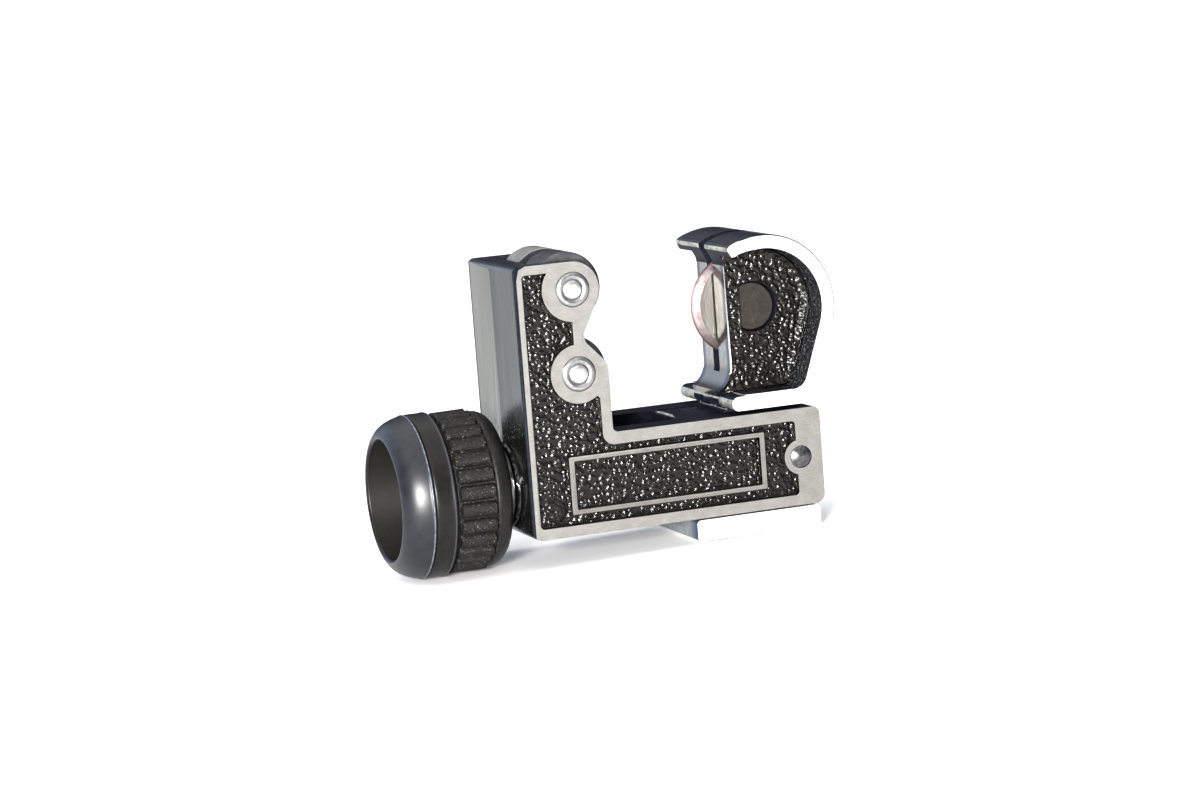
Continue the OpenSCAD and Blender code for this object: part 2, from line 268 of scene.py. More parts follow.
def mat_foot():
    """End of the lower flange: bare casting, dull and finely pitted."""
    g = Graph("bare_casting")
    blot = g.noise(0.6, 3.0, 0.6)
    fine = g.noise(4.0, 3.0, 0.6)
    col = g.ramp(blot, [(0.3, (0.115, 0.130, 0.135)), (0.7, (0.19, 0.21, 0.212))])
    pit = g.range(g.voronoi(0.7), 0.04, 0.12, 0.55, 0.0, True)
    col = g.mix(pit, col, (0.06, 0.06, 0.065))
    x, y, z = g.xyz()
    # painted dark blue shade towards the near corner
    col = g.mix(g.range(y, -13.4, -9.0, 0.90, 0.0, True), col, (0.020, 0.030, 0.075))
    g.set(Base_Color=col, Metallic=0.15, Roughness=g.range(fine, 0.3, 0.7, 0.40, 0.58),
          Normal=g.bump(g.math("ADD", blot, g.math("MULTIPLY", fine, 0.4)), 0.03, 0.8))
    return g.mat


def enamel(name, height, dist, low, high):
    """Smooth black enamel of the castings' outer faces."""
    g = Graph(name)
    n1 = g.noise(0.9, 3.0, 0.55, 0.2)
    n2 = g.noise(4.5, 2.0, 0.5)
    col = g.ramp(n1, [(0.3, (0.008, 0.009, 0.011)), (0.7, (0.022, 0.023, 0.026))])
    g.set(Base_Color=col, Metallic=0.0, Roughness=g.range(n2, 0.3, 0.7, low, high),
          Normal=g.bump(height(g, n1, n2), dist, 0.8))
    g.b.inputs["IOR"].default_value = 1.62
    return g.mat


def mat_shade():
    """Thin dull blue-black enamel used as painted shade: in the slot and the channel, along the corner posts, at the
    hook's tip and in other shaded places.
    """
    g = Graph("black_enamel_painted_shade")
    n1 = g.noise(1.1, 3.0, 0.6)
    n2 = g.noise(4.2, 3.0, 0.6)
    col = g.ramp(n1, [(0.3, (0.0035, 0.0045, 0.0080)), (0.7, (0.0105, 0.0125, 0.0200))])
    speck = g.range(n2, 0.60, 0.72, 0.0, 0.55, True)
    col = g.mix(speck, col, (0.060, 0.060, 0.058))
    g.set(Base_Color=col, Metallic=0.0, Roughness=g.range(n2, 0.3, 0.7, 0.34, 0.52),
          Normal=g.bump(g.math("ADD", n1, g.math("MULTIPLY", n2, 0.4)), 0.04, 0.8))
    g.b.inputs["Specular IOR Level"].default_value = 0.06
    return g.mat


def mat_gloss():
    return enamel("black_gloss_enamel",
                  lambda g, a, b: g.math("ADD", a, g.math("MULTIPLY", b, 0.15)), 0.035, 0.14, 0.26)


def end_face(name, back):
    """The column's end face: enamel with upright drag marks and painted reflection, paler on the
    half behind the parting line."""
    g = Graph(name)
    x, y, z = g.xyz()
    drag = g.noise(1.0, 4.0, 0.6, 0.15, g.scaled((3.0, 2.4, 0.10)))
    wide = g.noise(1.0, 2.0, 0.5, 0.2, g.scaled((1.0, 0.30, 0.03)))
    fine = g.noise(4.0, 3.0, 0.6)
    f = g.math("ADD", g.math("MULTIPLY", drag, 0.55), g.math("MULTIPLY", wide, 0.45))
    if back:
        col = g.ramp(f, [(0.36, (0.020, 0.0215, 0.0175)), (0.64, (0.062, 0.0640, 0.052))])
    else:
        col = g.ramp(f, [(0.36, (0.006, 0.008, 0.0082)), (0.64, (0.029, 0.034, 0.0335))])
    # painted shade along the parting crease
    crease = g.range(g.math("ABSOLUTE", g.math("ADD", y, 0.55)), 0.10, 0.95, 0.75, 0.0, True)
    col = g.mix(crease, col, (0.006, 0.008, 0.010))
    speck = g.range(g.voronoi(0.55), 0.04, 0.10, 0.6, 0.0, True)
    col = g.mix(speck, col, (0.02, 0.02, 0.02))
    # where it runs down behind the knob it is painted black, a painted reflection of the knob, with a few pimples in
    # the paint
    low = g.range(g.math("ADD", z, g.math("MULTIPLY", wide, 4.0)), 27.5, 22.5, 0.0, 1.0, True)
    col = g.mix(low, col, (0.005, 0.0048, 0.0045))
    h = g.math("MULTIPLY", g.math("ADD", drag, g.math("MULTIPLY", fine, 0.25)), 0.030)
    h = g.math("MULTIPLY", h, g.math("SUBTRACT", 1.0, g.math("MULTIPLY", low, 0.85)))
    spots = g.math("MULTIPLY", g.range(g.voronoi(1.3), 0.05, 0.34, 1.0, 0.0, True),
                   g.range(g.noise(0.9, 2.0), 0.44, 0.54, 0.0, 1.0, True))
    h = g.math("ADD", h, g.math("MULTIPLY", g.math("MULTIPLY", spots, 0.10), low))
    g.set(Base_Color=col, Metallic=0.0, Roughness=g.range(drag, 0.3, 0.7, 0.12, 0.24),
          Normal=g.bump(h, 1.0, 0.9))
    g.b.inputs["IOR"].default_value = 1.52 if back else 1.38
    g.b.inputs["Specular Tint"].default_value = (0.93, 1.0, 0.93, 1.0)
    return g.mat


def mat_end():
    return end_face("end_face_enamel", False)


def mat_end_back():
    return end_face("end_face_pale_painted_reflection", True)


def mat_roller():
    """Hardened rollers: grey drums, with painted light and shade: the far drum lighter, the near drum darker, the
    groove black.
    """
    g = Graph("turned_roller_steel")
    x, y, z = g.xyz()
    rings = g.noise(1.0, 3.0, 0.6, 0.0, g.scaled((0.15, 9.0, 0.15)))
    blot = g.noise(0.5, 3.0, 0.6)
    far_drum_painted_light = g.ramp(blot, [(0.3, (0.15, 0.148, 0.144)), (0.7, (0.25, 0.247, 0.240))])
    near_drum_painted_shade = g.ramp(blot, [(0.3, (0.034, 0.035, 0.039)), (0.7, (0.080, 0.081, 0.085))])
    # painted light and shade: the far drum lighter, the near drum darker
    col = g.mix(g.range(y, -2.0, 2.0, 0.0, 1.0, True), near_drum_painted_shade, far_drum_painted_light)
    # painted shade in the groove
    groove = g.range(g.math("ABSOLUTE", y), 2.05, 2.45, 0.95, 0.0, True)
    col = g.mix(groove, col, (0.010, 0.011, 0.014))
    g.set(Base_Color=col, Metallic=0.35, Roughness=g.range(rings, 0.3, 0.7, 0.36, 0.50),
          Normal=g.bump(rings, 0.010, 0.9))
    g.b.inputs["Specular IOR Level"].default_value = 0.16
    return g.mat


def mat_rivet():
    """Zinc-plated rivets, with painted shade in the groove and round the edge, and a painted highlight on the centre
    disc.
    """
    g = Graph("bright_zinc")
    x, y, z = g.xyz()
    dx = g.math("SUBTRACT", x, PIN_X)
    # both pins at once: height above the nearer axis
    dz = g.math("SUBTRACT", g.math("ABSOLUTE", g.math("SUBTRACT", z, (UP_Z + LO_Z) / 2)), (UP_Z - LO_Z) / 2)
    r = g.math("SQRT", g.math("ADD", g.math("MULTIPLY", dx, dx), g.math("MULTIPLY", dz, dz)))
    blot = g.noise(1.3, 3.0, 0.6)
    fine = g.noise(7.0, 2.0, 0.5)
    col = g.ramp(blot, [(0.3, (0.24, 0.245, 0.25)), (0.7, (0.37, 0.37, 0.365))])
    # painted highlight: the centre disc is paler
    disc = g.range(r, 1.55, 1.75, 1.0, 0.0, True)
    col = g.mix(g.math("MULTIPLY", disc, 0.8), col, (0.56, 0.555, 0.53))
    # painted shade in the groove and round the edge
    groove_ring_shade = g.range(g.math("ABSOLUTE", g.math("SUBTRACT", r, 1.95)), 0.05, 0.26, 0.70, 0.0, True)
    edge = g.range(r, 2.98, 3.34, 0.0, 0.85, True)
    rivet_shade = g.math("MULTIPLY", g.math("MAXIMUM", groove_ring_shade, edge), g.range(fine, 0.25, 0.6, 0.7, 1.0))
    col = g.mix(rivet_shade, col, (0.075, 0.075, 0.075))
    g.set(Base_Color=col, Metallic=0.92, Roughness=g.range(blot, 0.3, 0.7, 0.28, 0.40),
          Normal=g.bump(g.math("ADD", blot, g.math("MULTIPLY", fine, 0.2)), 0.012, 0.6))
    return g.mat


def mat_dark_steel():
    g = Graph("dark_oxide_steel")
    blot = g.noise(1.2, 3.0, 0.6)
    col = g.ramp(blot, [(0.3, (0.055, 0.056, 0.060)), (0.7, (0.15, 0.15, 0.155))])
    g.set(Base_Color=col, Metallic=0.85, Roughness=g.range(blot, 0.3, 0.7, 0.22, 0.42),
          Normal=g.bump(g.noise(3.0, 3.0, 0.6), 0.04, 0.8))
    return g.mat


def mat_pin():
    g = Graph("dull_pin_steel")
    x, y, z = g.xyz()
    blot = g.noise(0.9, 4.0, 0.65)
    fine = g.noise(5.0, 3.0, 0.6)
    col = g.ramp(g.math("ADD", g.math("MULTIPLY", blot, 0.6), g.math("MULTIPLY", fine, 0.4)),
                 [(0.3, (0.015, 0.0129, 0.0103)), (0.5, (0.026, 0.0226, 0.0186)), (0.7, (0.052, 0.0455, 0.0375))])
    side = g.range(y, -6.32, -6.15, 0.0, 1.0, True)
    col = g.mix(side, col, (0.03, 0.028, 0.026))
    g.set(Base_Color=col, Metallic=0.45, Roughness=g.range(fine, 0.3, 0.7, 0.42, 0.62),
          Normal=g.bump(g.math("ADD", blot, g.math("MULTIPLY", fine, 0.4)), 0.05, 0.8))
    return g.mat


def mat_wheel():
    """Ground tool steel, with turning rings and a polished bevel tinted pink, darker and redder at the very edge."""
    g = Graph("ground_wheel_steel")
    x, y, z = g.xyz()
    dx = g.math("SUBTRACT", x, WHEEL_X)
    dz = g.math("SUBTRACT", z, WHEEL_Z)
    r = g.math("SQRT", g.math("ADD", g.math("MULTIPLY", dx, dx), g.math("MULTIPLY", dz, dz)))
    comb = g.t.nodes.new("ShaderNodeCombineXYZ")
    g.put(comb.inputs[0], g.math("MULTIPLY", r, 6.0))
    rings = g.noise(1.0, 3.0, 0.6, 0.0, comb.outputs[0])
    blot = g.noise(0.7, 3.0, 0.6)
    face = g.ramp(rings, [(0.3, (0.086, 0.080, 0.071)), (0.7, (0.250, 0.238, 0.218))])
    tint = g.ramp(blot, [(0.35, (0.135, 0.088, 0.094)), (0.60, (0.185, 0.172, 0.170))])
    m = g.range(r, 8.6, 8.8, 0.0, 1.0, True)
    rim = g.range(r, 9.85, 10.15, 0.0, 0.85, True)
    col = g.mix(rim, g.mix(m, face, tint), (0.075, 0.036, 0.042))
    g.set(Base_Color=col, Metallic=0.95,
          Roughness=g.lerp(m, g.range(rings, 0.3, 0.7, 0.24, 0.36), 0.55),
          Normal=g.bump(rings, 0.012, 0.8))
    return g.mat


def mat_screw():
    g = Graph("oiled_screw_steel")
    blot = g.noise(0.8, 3.0, 0.6)
    col = g.ramp(blot, [(0.3, (0.20, 0.20, 0.21)), (0.7, (0.40, 0.405, 0.42))])
    g.set(Base_Color=col, Metallic=0.92, Roughness=g.range(blot, 0.3, 0.7, 0.24, 0.42),
          Normal=g.bump(g.noise(5.0, 2.0), 0.02, 0.7))
    return g.mat


def mat_washer():
    g = Graph("bright_washer_steel")
    blot = g.noise(0.8, 3.0, 0.6)
    rings = g.noise(1.0, 2.0, 0.5, 0.0, g.scaled((6.0, 0.6, 0.6)))
    col = g.ramp(blot, [(0.3, (0.26, 0.265, 0.27)), (0.7, (0.42, 0.42, 0.42))])
    g.set(Base_Color=col, Metallic=0.95, Roughness=g.range(rings, 0.3, 0.7, 0.14, 0.26),
          Normal=g.bump(rings, 0.008, 0.7))
    return g.mat


def knob_plastic(name, nose):
    """Black moulded plastic: glossy nose with painted blue sky reflection, satin band, dusty matt ribs with painted
    shade in their grooves, plain hollow.
    """
    g = Graph(name)
    x, y, z = g.xyz()
    dz = g.math("SUBTRACT", z, AX)
    r = g.math("SQRT", g.math("ADD", g.math("MULTIPLY", y, y), g.math("MULTIPLY", dz, dz)))
    fine = g.noise(7.0, 3.0, 0.6)
    blot = g.noise(0.5, 3.0, 0.6)
    dots = g.noise(3.4, 3.0, 0.62)
    if nose:
        # the nose's blue-black colour is a painted sky reflection
        col = g.ramp(blot, [(0.3, (0.0058, 0.0066, 0.0086)), (0.7, (0.0105, 0.0118, 0.0150))])
        specks = g.range(dots, 0.68, 0.76, 0.0, 0.6, True)
        col = g.mix(specks, col, (0.17, 0.16, 0.14))
        # the parting ridge gets a painted pale blue highlight
        ridge = g.range(g.math("ABSOLUTE", g.math("ADD", x, 19.60)), 0.05, 0.20, 0.60, 0.0, True)
        col = g.mix(g.math("MULTIPLY", ridge, g.range(g.noise(1.6, 2.0), 0.3, 0.6, 0.35, 1.0, True)), col, (0.150, 0.175, 0.225))
        rough = g.range(fine, 0.3, 0.7, 0.33, 0.39)
        h, amp = fine, 0.10
    else:
        base = g.ramp(blot, [(0.3, (0.0040, 0.0039, 0.0037)), (0.7, (0.0085, 0.0082, 0.0076))])
        # dust: specks on the ribs and in the valleys
        specks = g.range(dots, 0.585, 0.69, 0.0, 1.0, True)
        specks = g.math("MULTIPLY", specks, g.range(g.noise(0.42, 2.0), 0.36, 0.60, 0.30, 1.0, True))
        ribs = g.math("MULTIPLY", g.range(x, -15.2, -13.8, 0, 1, True), g.range(x, -7.2, -5.8, 1, 0.25, True))
        dust = g.math("MULTIPLY", specks, g.math("MULTIPLY", ribs, 0.85))
        col = g.mix(g.math("MULTIPLY", ribs, 0.30), base, (0.0072, 0.0069, 0.0066))
        # painted shade in the grooves between the ribs
        groove = g.math("MULTIPLY", ribs, g.range(r, 14.72, 15.12, 0.85, 0.0, True))
        col = g.mix(groove, col, (0.0022, 0.0020, 0.0018))
        col = g.mix(dust, col, (0.185, 0.158, 0.120))
        # the band's far corner gets a painted pale highlight too
        lip = g.range(g.math("ABSOLUTE", g.math("ADD", x, 15.40)), 0.05, 0.22, 0.55, 0.0, True)
        col = g.mix(lip, col, (0.050, 0.056, 0.068))
        inside = g.math("MULTIPLY", g.range(r, 12.1, 11.6, 0, 1, True), g.range(x, -24.7, -23.9, 0, 1, True))
        col = g.mix(g.math("MULTIPLY", inside, 0.6), col, (0.0115, 0.0102, 0.0085))
        rough = g.lerp(inside, g.lerp(ribs, 0.34, 0.56), 0.55)
        rough = g.math("ADD", rough, g.range(fine, 0.3, 0.7, -0.05, 0.06))
        h = g.math("ADD", g.math("MULTIPLY", fine, 0.6), g.math("MULTIPLY", specks, 0.4))
        amp = g.math("ADD", 0.25, g.math("MULTIPLY", ribs, 0.75))
    g.set(Base_Color=col, Roughness=rough, Metallic=0.0,
          Normal=g.bump(g.math("MULTIPLY", h, amp), 0.07, 0.9))
    g.b.inputs["Specular IOR Level"].default_value = 0.40 if nose else 0.24
    return g.mat


def mat_knob():
    return knob_plastic("moulded_knob_plastic", False)


def mat_knob_nose():
    return knob_plastic("glossy_knob_plastic", True)


MAT = {k: v() for k, v in dict(
    wrinkle=mat_wrinkle, wall=mat_wall, rim=mat_rim, bright=mat_bright, mirror=mat_mirror, toe=mat_toe, shade=mat_shade,
    gloss=mat_gloss, end=mat_end, end_back=mat_end_back, roller=mat_roller, rivet=mat_rivet,
    dark=mat_dark_steel, pin=mat_pin, wheel=mat_wheel, screw=mat_screw,
    washer=mat_washer, knob=mat_knob, knob_nose=mat_knob_nose, foot=mat_foot).items()}


# --------------------------------------------------------------- mesh helpers

def cad_copy(node):
    """A node's mesh as a bmesh in millimetres, welded and cleared of flat edges."""
    bm = bmesh.new()
    bm.from_mesh(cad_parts[node].data)
    bm.transform(TO_MM)
    bmesh.ops.remove_doubles(bm, verts=bm.verts, dist=2e-4)
    bmesh.ops.dissolve_degenerate(bm, edges=bm.edges, dist=1e-5)
    bmesh.ops.dissolve_limit(bm, angle_limit=math.radians(0.25), verts=bm.verts, edges=bm.edges)
    bmesh.ops.recalc_face_normals(bm, faces=bm.faces)
    return bm


def emit(bm, name, mats, body, nodes=(), sharp=35.0, weighted=True):
    """Turns a bmesh in millimetres into a piece of the model."""
    bm.transform(TO_ROW)
    me = bpy.data.meshes.new(name)
    bm.to_mesh(me)
    bm.free()
    for m in mats:
        me.materials.append(MAT[m])
    me.polygons.foreach_set("use_smooth", [True] * len(me.polygons))
    me.set_sharp_from_angle(angle=math.radians(sharp))
    ob = bpy.data.objects.new(name, me)
    bpy.context.scene.collection.objects.link(ob)
    if weighted:
        w = ob.modifiers.new("normals", "WEIGHTED_NORMAL")
        w.keep_sharp = True
    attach(ob, body)
    if nodes:
        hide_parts(*nodes)
    return ob


def split(bm, faces, co, no):
    """Cuts the given faces along a plane."""
    near = dict.fromkeys([*faces, *(e for f in faces for e in f.edges), *(v for f in faces for v in f.verts)])
    bmesh.ops.bisect_plane(bm, geom=list(near), dist=1e-4, plane_co=co, plane_no=no)


def bevel(bm, edges, width, segs=2, material=-1, clamp=True):
    edges = [e for e in edges if e.is_valid]
    if edges:
        bmesh.ops.bevel(bm, geom=edges, offset=width, offset_type="OFFSET", segments=segs,
                        profile=0.5, affect="EDGES", clamp_overlap=clamp, material=material)


def corner(e):
    """Angle between an edge's faces, in degrees."""
    return math.degrees(e.calc_face_angle(0.0))


def fillet(pts, r, n=3, closed=False):
    """Rounds the corners of a two-dimensional line."""
    out, m = [], len(pts)
    for i, p in enumerate(pts):
        p = Vector(p)
        if not closed and i in (0, m - 1):
            out.append(p)
            continue
        a, b = Vector(pts[i - 1]) - p, Vector(pts[(i + 1) % m]) - p
        la, lb = a.length, b.length
        if la < 1e-6 or lb < 1e-6:
            continue
        a, b = a / la, b / lb
        ang = math.acos(max(-1.0, min(1.0, a.dot(b))))
        if ang > math.radians(165):
            out.append(p)
            continue
        t = min(r / math.tan(ang / 2), 0.42 * la, 0.42 * lb)
        p0, p1 = p + a * t, p + b * t
        for k in range(n + 1):
            s = k / n
            out.append((p0 * (1 - s) + p * s) * (1 - s) + (p * (1 - s) + p1 * s) * s)
    return out


def lathe(pts, place, segs=96, closed=True):
    """Turns points [radius, distance]; place(r, t, angle) gives the point in space."""
    bm = bmesh.new()
    rows = []
    for r, t in pts:
        if r < 1e-6:
            rows.append([bm.verts.new(place(0.0, t, 0.0))])
        else:
            rows.append([bm.verts.new(place(r, t, 2 * math.pi * k / segs)) for k in range(segs)])
    pairs = list(zip(rows, rows[1:])) + ([(rows[-1], rows[0])] if closed else [])
    for a, b in pairs:
        for k in range(segs):
            k2 = (k + 1) % segs
            q = [a[k % len(a)], a[k2 % len(a)], b[k2 % len(b)], b[k % len(b)]]
            u = []
            for v in q:
                if v not in u:
                    u.append(v)
            if len(u) >= 3:
                bm.faces.new(u)
    bmesh.ops.recalc_face_normals(bm, faces=bm.faces)
    return bm


def about_x(r, t, a):
    return (t, r * math.cos(a), AX + r * math.sin(a))


def about_y(cx, cz):
    return lambda r, t, a: (cx + r * math.cos(a), t, cz + r * math.sin(a))


def relief(x, z, seed, cell):
    """Height of the wrinkled paint at a point, in cells: low domes that crowd each other."""
    p = Vector((x * 1.10 / cell, z * 0.92 / cell, seed))
    w = Vector((noise.noise(p * 0.9), noise.noise(p * 0.9 + Vector((5.2, 1.3, 0.7))), 0.0)) * 0.16
    q = p + w
    d, c = noise.voronoi(q)
    t = noise.noise_vector(c[0] * 3.7)
    lean = t.x * (q.x - c[0].x) + t.y * (q.y - c[0].y)
    big = noise.noise(p * 0.5 + Vector((7.1, 3.3, 0.0)))
    return 0.12 - 0.60 * min(d[0], 0.75) ** 2 + 0.17 * lean + 0.06 * big


def in_outline(q, a, b):
    """Which points lie inside an outline of line pieces a-b (holes included)."""
    inside = np.zeros(len(q), bool)
    for (ax_, az_), (bx_, bz_) in zip(a, b):
        if abs(bz_ - az_) > 1e-12:
            xs = ax_ + (q[:, 1] - az_) * (bx_ - ax_) / (bz_ - az_)
            inside ^= ((az_ > q[:, 1]) != (bz_ > q[:, 1])) & (q[:, 0] < xs)
    return inside


def to_lines(q, a, b):
    """Distance of points to the nearest of the line pieces a-b."""
    near = np.full(len(q), 1e9)
    for p0, p1 in zip(a, b):
        d = p1 - p0
        s = np.clip(((q - p0) @ d) / (float(d @ d) or 1e-12), 0, 1)
        near = np.minimum(near, np.hypot(*(q - p0 - s[:, None] * d).T))
    return near


def wrinkle_floor(bm, faces, step, height, cell, seed, material, cove=0.0, open_edge=None):
    """Replaces flat floor faces that look along Y by a finely meshed, pebbled skin.

    With cove, the skin curves up towards its walls, except along open_edge."""
    faces = dict.fromkeys(faces)
    while faces:
        # one connected patch at a time, always in the same order
        first = next(iter(faces))
        del faces[first]
        patch, todo = {}, [first]
        while todo:
            f = todo.pop()
            patch[f] = None
            for e in f.edges:
                for g in e.link_faces:
                    if g in faces:
                        del faces[g]
                        todo.append(g)
        side = 1.0 if next(iter(patch)).normal.y > 0 else -1.0
        rim = [e for f in patch for e in f.edges if sum(g in patch for g in e.link_faces) == 1]
        rim = list(dict.fromkeys(rim))
        verts = list(dict.fromkeys(v for e in rim for v in e.verts))
        index = {v: i for i, v in enumerate(verts)}
        y0 = sum(v.co.y for v in verts) / len(verts)
        co = np.array([(v.co.x, v.co.z) for v in verts])
        seg = np.array([(index[e.verts[0]], index[e.verts[1]]) for e in rim])
        walls = np.array([not (open_edge and open_edge(co[i], co[j])) for i, j in seg])
        if cove:
            # the walls lean in a little, and the skin meets them above the old floor
            push = np.zeros_like(co)
            for (i, j), wall in zip(seg, walls):
                d = co[j] - co[i]
                n = np.array([-d[1], d[0]]) / (np.hypot(*d) or 1.0)
                m = (co[i] + co[j]) / 2 + 0.05 * n
                if not in_outline(m[None], co[seg[:, 0]], co[seg[:, 1]])[0]:
                    n = -n
                if wall:
                    push[i] += n
                    push[j] += n
            size = np.hypot(*push.T)
            touch = size > 1e-6
            push[touch] /= size[touch][:, None]
            # corners shared with the open edge only slide along it
            loose = {k for (i, j), wall in zip(seg, walls) if not wall for k in (i, j)}
            for k, v in enumerate(verts):
                if touch[k] and k not in loose:
                    v.co.x += 0.45 * push[k][0]
                    v.co.z += 0.45 * push[k][1]
                    v.co.y += side * cove
            co = np.array([(v.co.x, v.co.z) for v in verts])
        a, b = co[seg[:, 0]], co[seg[:, 1]]
        lo, hi = co.min(0), co.max(0)
        zs = np.arange(lo[1] + 0.5 * step, hi[1], step * 0.866)
        pts = [(x + (0.5 * step if k % 2 else 0.0), z) for k, z in enumerate(zs)
               for x in np.arange(lo[0], hi[0], step)]
        q = np.array(pts, float).reshape(-1, 2)
        q = q[in_outline(q, a, b)]
        near = to_lines(q, a, b)
        q, near = q[near > 0.55 * step], near[near > 0.55 * step]
        rise = np.zeros(len(q))
        if cove:
            w = to_lines(q, a[walls], b[walls])
            rise = cove * np.clip(1 - w / (1.7 * cove), 0, 1) ** 2
        every = [Vector(p) for p in co] + [Vector(p) for p in q]
        res = delaunay_2d_cdt(every, [tuple(map(int, s)) for s in seg], [], 0, 1e-6)
        new_co, new_faces, orig = res[0], res[2], res[3]
        flat = np.array([tuple(c) for c in new_co])
        mids = np.array([flat[list(f)].mean(0) for f in new_faces]).reshape(-1, 2)
        keep = in_outline(mids, a, b)
        made = []
        for i, c in enumerate(new_co):
            ring = [o for o in orig[i] if o < len(verts)]
            if ring:
                made.append(verts[ring[0]])
            else:
                k = orig[i][0] - len(verts)
                fade = min(1.0, near[k] / 0.45)
                h = height * cell * relief(c.x, c.y, seed, cell) * fade + rise[k]
                made.append(bm.verts.new((c.x, y0 + side * h, c.y)))
        bmesh.ops.delete(bm, geom=list(patch), context="FACES_ONLY")
        for f, ok in zip(new_faces, keep):
            vs = [made[i] for i in f]
            if not ok or len(set(vs)) < 3:
                continue
            nf = bm.faces.new(vs)
            nf.normal_update()
            if nf.normal.y * side < 0:
                nf.normal_flip()
            nf.material_index = material
            nf.smooth = True


# ----------------------------------------------------------------------- body

def build_body():
    bm = cad_copy("body")
    RIM, PAINT, END, GLOSS, SHADE, BACK = 0, 1, 2, 3, 4, 5
    for f in bm.faces:
        ys = [abs(v.co.y) for v in f.verts]
        c, n = f.calc_center_median(), f.normal
        across = min(v.co.y for v in f.verts) < -1.0 and max(v.co.y for v in f.verts) > 1.0
        if min(ys) > HW - 0.02 and not across:
            f.material_index = RIM
        elif min(ys) > HW - 0.13 and abs(n.y) > 0.9:
            f.material_index = RIM
        elif min(ys) > HW - 1.4 and not across:
            f.material_index = PAINT
        elif n.x < -0.95 and -0.3 < c.x < 0.6:
            f.material_index = END
        # painted shade: the arm's top faces and the channel inside get the dull enamel
        elif c.x > 18.3 and 0.5 < c.z < 19.6 and (n.z > 0.9 or max(ys) < HW - 3.0):
            f.material_index = SHADE
        else:
            f.material_index = GLOSS

    # the end face's upright corners are rounded and stay black; they, the end face's edges and the rim's upper corner
    # get the dull enamel as painted dark blue shade
    split(bm, [f for f in bm.faces if f.material_index == RIM and min(v.co.x for v in f.verts) < 0.5], (0.90, 0, 0), (1, 0, 0))
    for f in bm.faces:
        if f.material_index == RIM and max(v.co.x for v in f.verts) < 0.91:
            f.material_index = SHADE
    for x, z, nx, nz in ((0.86, 50.3, -2.15, 0.60), (1.46, 52.45, -0.62, 1.35)):
        split(bm, [f for f in bm.faces if f.material_index == RIM and any(v.co.x < 3.5 and v.co.z > 49.0 for v in f.verts)],
              (x, 0, z), (nx, 0, nz))
        for f in bm.faces:
            c = f.calc_center_median()
            if f.material_index == RIM and c.x < 3.2 and c.z > 50.0 and (c.x - x) * nx + (c.z - z) * nz > 0.0:
                f.material_index = SHADE
    for y in (-HW + 0.55, HW - 0.55):
        split(bm, [f for f in bm.faces if f.material_index == END], (0, y, 0), (0, 1, 0))
    for f in bm.faces:
        if f.material_index == END and min(abs(v.co.y) for v in f.verts) > HW - 0.56:
            f.material_index = SHADE
    for v in bm.verts:
        if abs(v.co.y) > HW - 0.02 and v.co.x < 0.40 and 2.0 < v.co.z < 51.8:
            v.co.x += 0.26
            v.co.y -= math.copysign(0.26, v.co.y)
    bm.normal_update()
    bm.edges.ensure_lookup_table()

    def bore(e):
        m = (e.verts[0].co + e.verts[1].co) / 2
        for x, z, r in ((PIN_X, UP_Z, 2.7), (PIN_X, LO_Z, 2.7), (56.95, 9.6, 2.35)):
            if math.hypot(m.x - x, m.z - z) < r:
                return True
        return math.hypot(m.y, m.z - AX) < 4.2

    outer, fine, inner = [], [], []
    for e in bm.edges:
        if len(e.link_faces) != 2 or corner(e) < 28 or bore(e):
            continue
        ys = [abs(v.co.y) for v in e.verts]
        spans = [min(abs(v.co.y) for v in f.verts) for f in e.link_faces]
        if min(ys) > HW - 0.02:
            (outer if min(spans) < HW - 1.6 else fine).append(e)
        elif min(ys) > HW - 1.4:
            fine.append(e)
        else:
            inner.append(e)
    bevel(bm, [e for e in outer if e.is_valid], 0.34, 3, GLOSS)
    bevel(bm, [e for e in fine if e.is_valid], 0.16, 2)
    bevel(bm, [e for e in inner if e.is_valid], 0.28, 2)
    # the parting line down the end face
    split(bm, [f for f in bm.faces if f.material_index == END], (0, -0.55, 0), (0, 1, 0))
    for f in bm.faces:
        if f.material_index == END and f.calc_center_median().y > -0.55:
            f.material_index = BACK
    bm.normal_update()
    floors = [f for f in bm.faces if f.material_index == PAINT and abs(f.normal.y) > 0.999
              and HW - 1.06 < abs(f.calc_center_median().y) < HW - 0.9]
    wrinkle_floor(bm, [f for f in floors if f.normal.y < 0], 0.14, 1.0, 0.86, 3.0, PAINT)
    wrinkle_floor(bm, [f for f in floors if f.is_valid and f.normal.y > 0], 0.20, 1.0, 0.86, 8.0, PAINT)
    # the mark left by the die's pin
    marks = [f for f in bm.faces if f.material_index == PAINT and abs(f.normal.y) > 0.999
             and 12.45 < abs(f.calc_center_median().y) < 12.65 and f.calc_area() > 5.0]
    wrinkle_floor(bm, marks, 0.14, 0.75, 0.80, 21.0, PAINT)
    bm.normal_update()
    return emit(bm, "body_casting", ["rim", "wrinkle", "end", "gloss", "shade", "end_back"], "frame", ["body"], 40)


# ------------------------------------------------------------------------ jaw

